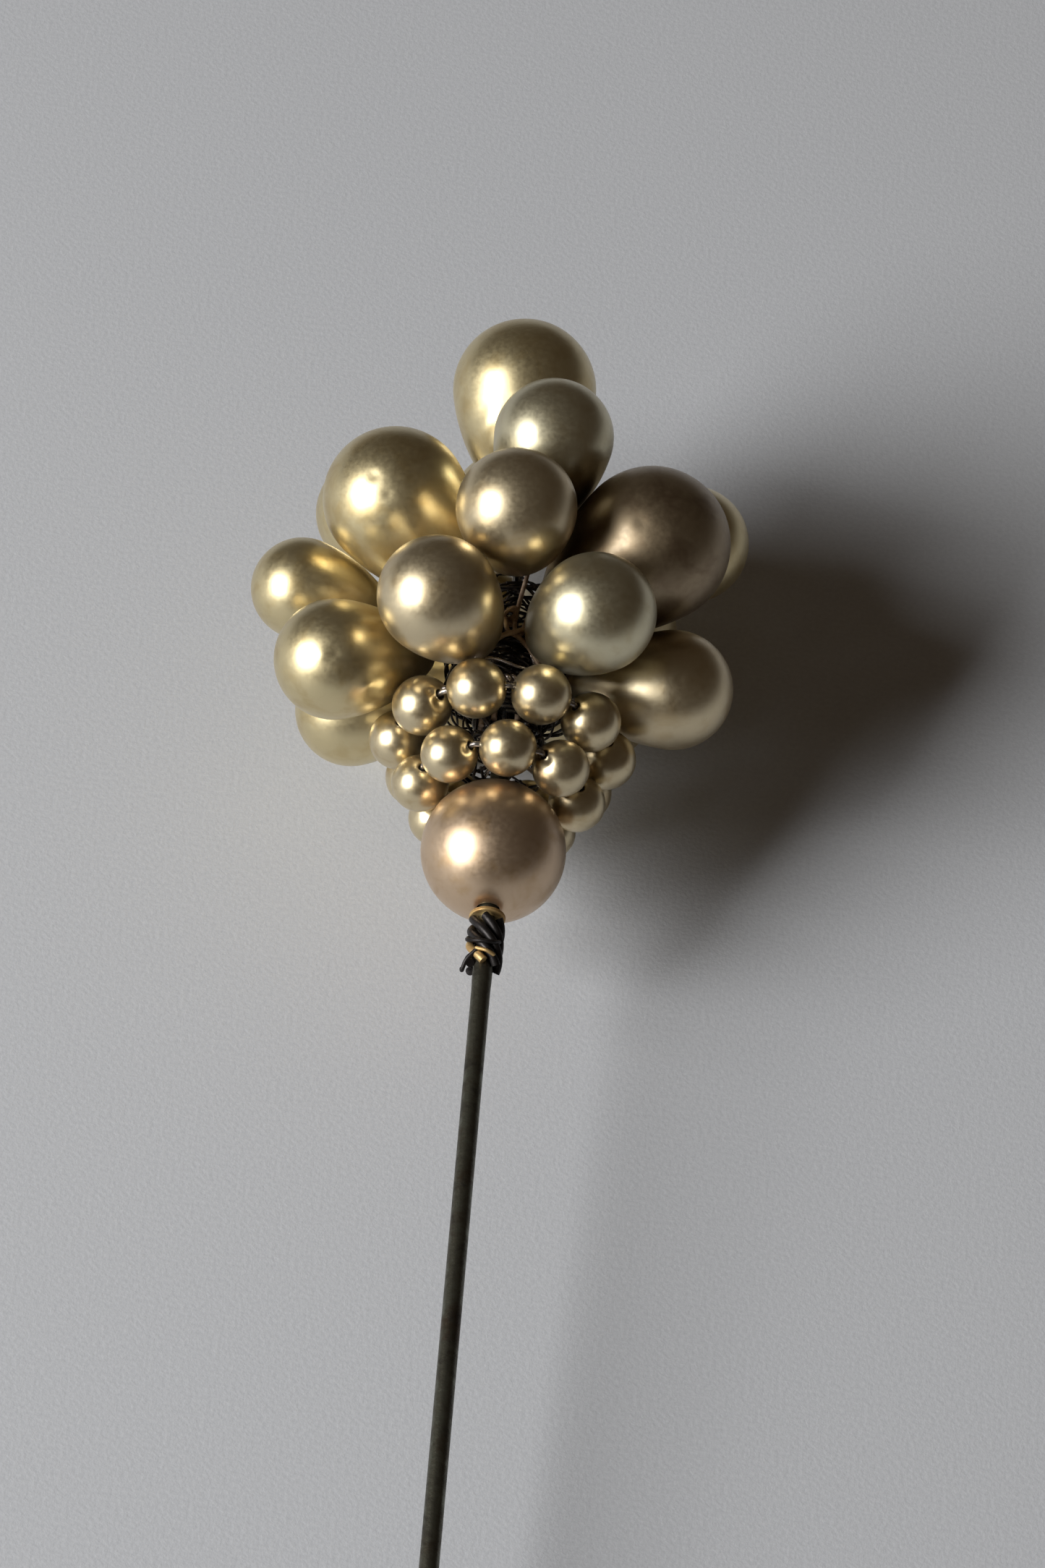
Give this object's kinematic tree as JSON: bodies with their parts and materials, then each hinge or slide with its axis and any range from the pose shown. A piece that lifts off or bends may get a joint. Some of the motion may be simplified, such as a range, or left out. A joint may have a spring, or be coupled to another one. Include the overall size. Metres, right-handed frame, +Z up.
{
  "type": "hat pin",
  "caption": "Long steel hat pin whose head is a spray of wired imitation pearls: teardrops over two threaded rings of small pearls and a round base pearl.",
  "frame": {"origin": "on the table under the middle of the pin, which lies on its point and two pearls", "axes": "+Z up, the pin's point towards -Y and its pearl head towards +Y"},
  "size_m": [0.0348, 0.1914, 0.0299],
  "materials": {
    "stem_steel": "tarnished",
    "blackened_wire": "blackened",
    "brass": "worn",
    "lacing_wire": "dull",
    "stalk_wire": "tarnished",
    "copper_wire": "tarnished",
    "rose_pearl": "pearl lacquer on glass",
    "small_pearl": "pearl lacquer on glass",
    "drop_pearl": "pearl lacquer on glass"
  },
  "bodies": {
    "pin": {"pin_stem": "stem_steel", "neck_washer": "brass", "neck_binding": "blackened_wire", "neck_brass_strand": "brass", "core_lashing": "copper_wire", "lower_ring_lacing": "lacing_wire", "lower_ring_ties": "lacing_wire", "upper_ring_lacing": "lacing_wire", "upper_ring_ties": "lacing_wire", "lower_stalks": "stalk_wire", "lower_drop_1": "drop_pearl", "lower_drop_2": "drop_pearl", "lower_drop_3": "drop_pearl", "lower_drop_4": "drop_pearl", "lower_drop_5": "drop_pearl", "lower_drop_6": "drop_pearl", "lower_drop_7": "drop_pearl", "middle_stalks": "stalk_wire", "middle_drop_1": "drop_pearl", "middle_drop_2": "drop_pearl", "middle_drop_3": "drop_pearl", "middle_drop_4": "drop_pearl", "middle_drop_5": "drop_pearl", "middle_drop_6": "drop_pearl", "middle_drop_7": "drop_pearl", "middle_drop_8": "drop_pearl", "crown_stalks": "stalk_wire", "crown_drop_1": "drop_pearl", "crown_drop_2": "drop_pearl", "crown_drop_3": "drop_pearl"},
    "base_pearl": {"base_pearl": "rose_pearl"},
    "lower_ring_pearl_01": {"lower_ring_pearl_01": "small_pearl"},
    "lower_ring_pearl_02": {"lower_ring_pearl_02": "small_pearl"},
    "lower_ring_pearl_03": {"lower_ring_pearl_03": "small_pearl"},
    "lower_ring_pearl_04": {"lower_ring_pearl_04": "small_pearl"},
    "lower_ring_pearl_05": {"lower_ring_pearl_05": "small_pearl"},
    "lower_ring_pearl_06": {"lower_ring_pearl_06": "small_pearl"},
    "lower_ring_pearl_07": {"lower_ring_pearl_07": "small_pearl"},
    "lower_ring_pearl_08": {"lower_ring_pearl_08": "small_pearl"},
    "upper_ring_pearl_01": {"upper_ring_pearl_01": "small_pearl"},
    "upper_ring_pearl_02": {"upper_ring_pearl_02": "small_pearl"},
    "upper_ring_pearl_03": {"upper_ring_pearl_03": "small_pearl"},
    "upper_ring_pearl_04": {"upper_ring_pearl_04": "small_pearl"},
    "upper_ring_pearl_05": {"upper_ring_pearl_05": "small_pearl"},
    "upper_ring_pearl_06": {"upper_ring_pearl_06": "small_pearl"},
    "upper_ring_pearl_07": {"upper_ring_pearl_07": "small_pearl"},
    "upper_ring_pearl_08": {"upper_ring_pearl_08": "small_pearl"},
    "upper_ring_pearl_09": {"upper_ring_pearl_09": "small_pearl"},
    "upper_ring_pearl_10": {"upper_ring_pearl_10": "small_pearl"}
  },
  "joints": [
    {"name": "base_pearl_spin", "type": "hinge", "parent": "pin", "child": "base_pearl", "pos_m": [0.0012, 0.05378, 0.01201], "axis": [0, 0.9969, 0.0793], "continuous": true},
    {"name": "lower_ring_pearl_01_spin", "type": "hinge", "parent": "pin", "child": "lower_ring_pearl_01", "pos_m": [0.00158, 0.0582, 0.01781], "axis": [0.9976, 0.0055, -0.069], "continuous": true},
    {"name": "lower_ring_pearl_02_spin", "type": "hinge", "parent": "pin", "child": "lower_ring_pearl_02", "pos_m": [0.00531, 0.05835, 0.01596], "axis": [0.6564, 0.0598, -0.752], "continuous": true},
    {"name": "lower_ring_pearl_03_spin", "type": "hinge", "parent": "pin", "child": "lower_ring_pearl_03", "pos_m": [0.00664, 0.05867, 0.01202], "axis": [-0.0692, 0.0791, -0.9945], "continuous": true},
    {"name": "lower_ring_pearl_04_spin", "type": "hinge", "parent": "pin", "child": "lower_ring_pearl_04", "pos_m": [0.00478, 0.05896, 0.0083], "axis": [-0.7544, 0.0521, -0.6544], "continuous": true},
    {"name": "lower_ring_pearl_05_spin", "type": "hinge", "parent": "pin", "child": "lower_ring_pearl_05", "pos_m": [0.00083, 0.05907, 0.00697], "axis": [-0.9976, -0.0055, 0.069], "continuous": true},
    {"name": "lower_ring_pearl_06_spin", "type": "hinge", "parent": "pin", "child": "lower_ring_pearl_06", "pos_m": [-0.00291, 0.05892, 0.00883], "axis": [-0.6564, -0.0598, 0.752], "continuous": true},
    {"name": "lower_ring_pearl_07_spin", "type": "hinge", "parent": "pin", "child": "lower_ring_pearl_07", "pos_m": [-0.00423, 0.05861, 0.01277], "axis": [0.0692, -0.0791, 0.9945], "continuous": true},
    {"name": "lower_ring_pearl_08_spin", "type": "hinge", "parent": "pin", "child": "lower_ring_pearl_08", "pos_m": [-0.00237, 0.05831, 0.01649], "axis": [0.7544, -0.0521, 0.6544], "continuous": true},
    {"name": "upper_ring_pearl_01_spin", "type": "hinge", "parent": "pin", "child": "upper_ring_pearl_01", "pos_m": [0.00354, 0.06181, 0.01948], "axis": [0.9457, 0.0258, -0.3241], "continuous": true},
    {"name": "upper_ring_pearl_02_spin", "type": "hinge", "parent": "pin", "child": "upper_ring_pearl_02", "pos_m": [0.0071, 0.06203, 0.01681], "axis": [0.574, 0.0649, -0.8163], "continuous": true},
    {"name": "upper_ring_pearl_03_spin", "type": "hinge", "parent": "pin", "child": "upper_ring_pearl_03", "pos_m": [0.0084, 0.06236, 0.01257], "axis": [-0.0169, 0.0793, -0.9967], "continuous": true},
    {"name": "upper_ring_pearl_04_spin", "type": "hinge", "parent": "pin", "child": "upper_ring_pearl_04", "pos_m": [0.00696, 0.0627, 0.00837], "axis": [-0.6014, 0.0634, -0.7964], "continuous": true},
    {"name": "upper_ring_pearl_05_spin", "type": "hinge", "parent": "pin", "child": "upper_ring_pearl_05", "pos_m": [0.00331, 0.0629, 0.00583], "axis": [-0.9562, 0.0232, -0.2919], "continuous": true},
    {"name": "upper_ring_pearl_06_spin", "type": "hinge", "parent": "pin", "child": "upper_ring_pearl_06", "pos_m": [-0.00114, 0.06289, 0.0059], "axis": [-0.9457, -0.0258, 0.3241], "continuous": true},
    {"name": "upper_ring_pearl_07_spin", "type": "hinge", "parent": "pin", "child": "upper_ring_pearl_07", "pos_m": [-0.00469, 0.06268, 0.00857], "axis": [-0.574, -0.0649, 0.8163], "continuous": true},
    {"name": "upper_ring_pearl_08_spin", "type": "hinge", "parent": "pin", "child": "upper_ring_pearl_08", "pos_m": [-0.006, 0.06234, 0.01281], "axis": [0.0169, -0.0793, 0.9967], "continuous": true},
    {"name": "upper_ring_pearl_09_spin", "type": "hinge", "parent": "pin", "child": "upper_ring_pearl_09", "pos_m": [-0.00455, 0.06201, 0.01701], "axis": [0.6014, -0.0634, 0.7964], "continuous": true},
    {"name": "upper_ring_pearl_10_spin", "type": "hinge", "parent": "pin", "child": "upper_ring_pearl_10", "pos_m": [-0.00091, 0.06181, 0.01955], "axis": [0.9562, -0.0232, 0.2919], "continuous": true}
  ]
}
